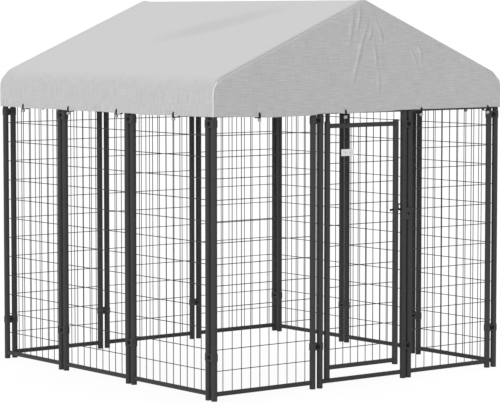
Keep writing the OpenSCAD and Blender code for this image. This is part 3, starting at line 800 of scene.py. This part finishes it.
def half_profile():
    """Gable outline from the right hem to the ridge: point, way out and distance from the ridge."""
    points = []
    for height in SKIRT_ROWS:
        points.append((CLOTH_HALF, HEM_Z + height * MM, 1.0, 0.0, None))
    lean = math.pi / 2 - ROOF_PITCH
    for i in range(EAVE_STEPS + 1):
        angle = lean * i / EAVE_STEPS
        c, s = math.cos(angle), math.sin(angle)
        points.append((EAVE_X + EAVE_R * c, EAVE_Z + EAVE_R * s, c, s, None))
    c, s = math.cos(lean), math.sin(lean)
    foot = Vector((EAVE_X + EAVE_R * c, EAVE_Z + EAVE_R * s))
    head = Vector((RIDGE_R * c, RIDGE_Z + RIDGE_R * s))
    length = (head - foot).length
    half = length / 2
    for t in steps_between(0, half, LOWER_STEP) + steps_between(half, length, UPPER_STEP):
        spot = foot.lerp(head, t / length)
        points.append((spot.x, spot.y, c, s, length - t))
    for i in range(1, RIDGE_STEPS + 1):
        angle = lean + ROOF_PITCH * i / RIDGE_STEPS
        c, s = math.cos(angle), math.sin(angle)
        points.append((RIDGE_R * c, RIDGE_Z + RIDGE_R * s, c, s, 0.0))
    return points


HALF_PROFILE = half_profile()
PROFILE = HALF_PROFILE + [(-x, z, -nx, nz, far) for x, z, nx, nz, far in reversed(HALF_PROFILE[:-1])]
SLOPE_LENGTH = max(far for *_, far in HALF_PROFILE if far is not None)


def edge_radius(nz):
    """Radius of the turn from a side to a gable: small down the corners and larger along the rakes."""
    return CORNER_R + (RAKE_R - CORNER_R) * smooth((nz - 0.3) / 0.5)


def turn_depth(gap, radius):
    """How far a panel turns in towards its seam, for a distance from the outer edge."""
    if gap >= radius:
        return 0.0
    return radius - math.sqrt(radius ** 2 - (radius - gap) ** 2)


def crest_height(gap, nz):
    """Rise of the cloth where it is stretched over an end rafter, for a distance from the outer edge."""
    return CREST * smooth((nz - 0.5) / 0.3) * math.exp(-((gap - CREST_BACK) / CREST_W) ** 2)


def slope_offset(side, far, y):
    """Sag of a roof slope between its tubes, its shallow folds and its slow waves."""
    if abs(y) >= HALF:
        return 0.0
    down = min(far / SLOPE_LENGTH, 1.0)
    held = math.sin(math.pi * down) ** 0.8 * math.cos(0.5 * math.pi * y / HALF) ** 0.7
    fold = fold_height(SLOPE_FOLDS, far, y if side < 0 else -y)
    wave = SLOPE_WAVE * noise.noise(Vector((far * 5, y * 3.5, side * 3.0)))
    return held * (wave - fold - SLOPE_SAG)


def roof_point(entry, y):
    x, z, nx, nz, far = entry
    radius = edge_radius(nz)
    gap = CLOTH_HALF - abs(y)
    out = crest_height(gap, nz) - turn_depth(gap, radius)
    shift = 0.0
    face = RIGHT if x > 0 else LEFT
    if far is not None:
        out += slope_offset(math.copysign(1, x), far, y)
    elif nz < UPRIGHT:
        u = side_distance(face, x, y)
        out += smooth((gap - SEAM_SHARE * radius) / SKIRT_EASE) * skirt_offset(face, u, z)
        shift = hem_shift(face, u, z)
    return Vector((x + nx * out, y, z + nz * out + shift))


# Points near a gable: angles of the turn in, and distances in millimetres back from where it starts
TURN_ANGLES = (15, 30, 45)
CREST_STATIONS = (18, 13, 10, 7.5, 5, 2.5, 0)
ROOF_COLUMNS = 100


def roof_stations(nz):
    """Distances along the run: even ones, and close ones at the end seams and where the cloth turns in."""
    radius = edge_radius(nz)
    inner = CLOTH_HALF - radius
    ends = [inner - back * MM for back in CREST_STATIONS]
    ends += [inner + radius * math.sin(math.radians(angle)) for angle in TURN_ANGLES]
    even = [ends[0] * (2 * i / ROOF_COLUMNS - 1) for i in range(1, ROOF_COLUMNS)]
    return [-y for y in reversed(ends)] + even + ends


def add_grid(edit, layer, rows, uv_of, flip=False):
    """Faces between rows of points, with a UV in metres along the cloth."""
    verts = [[edit.verts.new(point) for point in row] for row in rows]
    for i in range(len(rows) - 1):
        for j in range(len(rows[i]) - 1):
            corners = [(i, j), (i, j + 1), (i + 1, j + 1), (i + 1, j)]
            if flip:
                corners.reverse()
            face = edit.faces.new([verts[a][b] for a, b in corners])
            for loop, (a, b) in zip(face.loops, corners):
                loop[layer].uv = uv_of(a, b)


def add_roof(edit, layer):
    """Both slopes and both side skirts in one run over the ridge."""
    stations = [roof_stations(entry[3]) for entry in PROFILE]
    rows = [[roof_point(entry, y) for y in row] for entry, row in zip(PROFILE, stations)]
    lengths = [0.0]
    for a, b in zip(PROFILE, PROFILE[1:]):
        lengths.append(lengths[-1] + math.hypot(b[0] - a[0], b[1] - a[1]))
    add_grid(edit, layer, rows, lambda a, b: (lengths[a], stations[a][b]))


def edge_gap(x, z):
    """Distance of a point of the gable from its outer edge, and the radius of the edge's turn there."""
    side = abs(x)
    if side > EAVE_X and z > EAVE_Z:
        reach = math.hypot(side - EAVE_X, z - EAVE_Z)
        return EAVE_R - reach, edge_radius((z - EAVE_Z) / reach)
    reach = math.hypot(side, z - RIDGE_Z)
    if z > RIDGE_Z and side < reach * math.sin(ROOF_PITCH):
        return RIDGE_R - reach, RAKE_R
    slope = RIDGE_R - (z - RIDGE_Z) * math.cos(ROOF_PITCH) - side * math.sin(ROOF_PITCH)
    if slope < CLOTH_HALF - side:
        return slope, RAKE_R
    return CLOTH_HALF - side, CORNER_R


def gable_point(face, x, z):
    """Point of the front or rear gable; the rear one has the same folds as the front, turned round."""
    sign = -1 if face == FRONT else 1
    u = side_distance(face, x, 0)
    gap, radius = edge_gap(x, z)
    gap = max(gap, SEAM_SHARE * radius)
    held = smooth((gap - SEAM_SHARE * radius) / GABLE_EASE)
    slack = GABLE_SLACK * noise.noise(Vector((x * 5, sign * 2.0, z * 6)))
    out = fold_height(GABLE_FOLDS, u - HALF, z) + slack + skirt_offset(face, u, z)
    depth = turn_depth(gap, radius)
    return Vector((x, sign * (CLOTH_HALF + held * out - depth), z + hem_shift(face, u, z)))


# Rows of a gable between its hem and its top, and the distances of the top ones below the seam
GABLE_ROWS = 80
TOP_ROWS = (16, 11, 7, 4, 2, 0)


def add_gable(edit, layer, face):
    """Front or rear panel in columns from the hem up to the seam."""
    edge = []
    for x, z, nx, nz, _ in PROFILE:
        if abs(nx) < 1.0:
            inset = SEAM_SHARE * edge_radius(nz)
            edge.append((x - nx * inset, z - nz * inset))
    rows = []
    for x, top in edge:
        heights = [HEM_Z + h * MM for h in HEM_ROWS]
        low = heights[-1]
        rise = top - TOP_ROWS[0] * MM - low
        heights += [low + rise * i / GABLE_ROWS for i in range(1, GABLE_ROWS)]
        heights += [top - h * MM for h in TOP_ROWS]
        rows.append([(x, z) for z in heights])
    places = [[gable_point(face, x, z) for x, z in row] for row in rows]
    add_grid(edit, layer, places, lambda a, b: rows[a][b], flip=face == REAR)


def cut_hole(edit, centre, out):
    """Opening for a grommet: the cloth near it is cut along the sides of a polygon and its inside removed."""
    across = Vector((0, 0, 1)).cross(out)
    ways = []
    for k in range(HOLE_SIDES):
        turn = 2 * math.pi * (k + 0.5) / HOLE_SIDES
        ways.append(across * math.cos(turn) + Vector((0, 0, math.sin(turn))))
    near = [face for face in edit.faces if (face.calc_center_median() - centre).length < HOLE_REACH]
    for way in ways:
        parts = set(near)
        for face in near:
            parts.update(face.edges)
            parts.update(face.verts)
        cut = bmesh.ops.bisect_plane(edit, geom=list(parts), plane_co=centre + way * HOLE_R, plane_no=way)
        near = [part for part in cut["geom"] if isinstance(part, bmesh.types.BMFace)]
    inside = []
    for face in near:
        spot = face.calc_center_median() - centre
        if all(spot.dot(way) < HOLE_R for way in ways):
            inside.append(face)
    bmesh.ops.delete(edit, geom=inside, context="FACES")


def add_canopy():
    """The sewn sheet with its grommet holes, and its area."""
    edit = bmesh.new()
    layer = edit.loops.layers.uv.verify()
    add_roof(edit, layer)
    add_gable(edit, layer, FRONT)
    add_gable(edit, layer, REAR)
    for middle, out in BALLS:
        flat = Vector((middle.x, middle.y, 0))
        cut_hole(edit, flat + out * (CLOTH_HALF - flat.dot(out)) + Vector((0, 0, GROMMET_Z)), out)
    area = sum(face.calc_area() for face in edit.faces)
    piece = new_piece("canopy_sheet", edit, "kennel", MATERIALS["canopy_cloth"])
    thicken = piece.modifiers.new("thickness", "SOLIDIFY")
    thicken.thickness = CLOTH_T
    thicken.offset = -1
    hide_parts("canopy")
    return piece, area


def add_piping():
    """White corded seam down the corners, which sinks into the seam along the rakes."""
    edit = bmesh.new()
    for sign in (-1, 1):
        points = []
        for x, z, nx, nz, _ in PROFILE:
            face = RIGHT if x > 0 else LEFT
            inset = SEAM_SHARE * edge_radius(nz)
            y = sign * (CLOTH_HALF - inset)
            rise = hem_shift(face, side_distance(face, x, y), z) if nz < UPRIGHT else 0.0
            out = Vector((nx, sign, nz)).normalized()
            proud = 0.6 - 2.0 * smooth((nz - 0.45) / 0.3)
            points.append(Vector((x - nx * inset, y, z - nz * inset + rise)) + out * proud * PIPING_R)
        sweep(edit, points, PIPING_R, 8)
    return new_piece("canopy_piping", edit, "kennel", piping_cloth())


def stitch(edit, point, along, out):
    """One stitch: a short thread that dips into the cloth at both ends."""
    points = []
    radii = []
    for step, rise, width in STITCH_SHAPE:
        points.append(point + along * step * MM + out * rise * MM)
        radii.append(STITCH_R * width)
    sweep(edit, points, radii, 4)


def hem_point(face, u, z):
    """Point of a skirt and its way out."""
    spot, out = place_on_side(face, u)
    if face in (FRONT, REAR):
        return gable_point(face, spot.x, z), out
    entry = (out.x * CLOTH_HALF, z, out.x, 0.0, None)
    return roof_point(entry, spot.y), out


def add_stitching():
    """Two rows of stitches along the whole hem."""
    edit = bmesh.new()
    for face in (FRONT, RIGHT, REAR, LEFT):
        for height in STITCH_ROWS:
            count = int((SIDE + 2 * STITCH_PAST) / STITCH_PITCH)
            for i in range(count):
                u = -STITCH_PAST + (i + 0.5) * STITCH_PITCH
                point, out = hem_point(face, u, HEM_Z + height)
                ahead, out = hem_point(face, u + 2 * MM, HEM_Z + height)
                stitch(edit, point, (ahead - point).normalized(), out)
    return new_piece("canopy_stitches", edit, "kennel", stitch_thread())


# Stage: the floor's half size, its drop below the feet, and the share of its colour that the lamps give back
FLOOR_HALF = 60
FLOOR_DROP = 0.2 * MM
FLOOR_LIT = 0.65


def light_path_mask(g):
    """One for rays from the camera and for mirrored or refracted ones, nought for all others."""
    path = g.add("LightPath").outputs
    seen = g.math("MAXIMUM", path["Is Camera Ray"], path["Is Glossy Ray"])
    return g.math("MAXIMUM", seen, path["Is Transmission Ray"])


def add_world(strength):
    """White to the camera, and an even soft dome as a light."""
    world = bpy.data.worlds.new("studio")
    bpy.context.scene.world = world
    g = Graph(world, "Background")
    g.set(Color=(1, 1, 1, 1), Strength=g.mapped(light_path_mask(g), strength, 1.0))


def add_floor(bounce, shade):
    """White floor that shows to the camera as the background, with a faint shadow of the object."""
    edit = bmesh.new()
    bmesh.ops.create_grid(edit, x_segments=8, y_segments=8, size=FLOOR_HALF)
    mesh = bpy.data.meshes.new("floor")
    edit.to_mesh(mesh)
    edit.free()
    floor = bpy.data.objects.new("floor", mesh)
    floor.location.z = -FLOOR_DROP
    bpy.context.scene.collection.objects.link(floor)
    g = finish("floor_paint")
    seen = light_path_mask(g)
    g.set(
        Base_Color=g.mixed(seen, grey(bounce), grey(shade)),
        Roughness=1.0,
        Specular_IOR_Level=0.0,
        Emission_Color=(1, 1, 1, 1),
        Emission_Strength=g.math("MULTIPLY", seen, 1 - FLOOR_LIT * shade),
    )
    mesh.materials.append(g.owner)


def add_sun(name, towards, strength, softness):
    """Soft lamp from a far place, with its breadth in degrees."""
    data = bpy.data.lights.new(name, "SUN")
    data.energy = strength
    data.angle = math.radians(softness)
    lamp = bpy.data.objects.new(name, data)
    lamp.rotation_euler = Vector(towards).to_track_quat("Z", "Y").to_euler()
    bpy.context.scene.collection.objects.link(lamp)


add_camera()
finish_nodes()
add_welds()
add_bungees()
canopy_sheet, canopy_area = add_canopy()
piping = add_piping()
stitches = add_stitching()
add_world(0.605)
add_floor(0.76, 0.12)
add_sun("top", (0.4, 0.3, 0.87), 0.93, 40)
add_sun("left", (-0.93, -0.31, 0.2), 0.91, 25)
bpy.context.scene.view_settings.view_transform = "Standard"
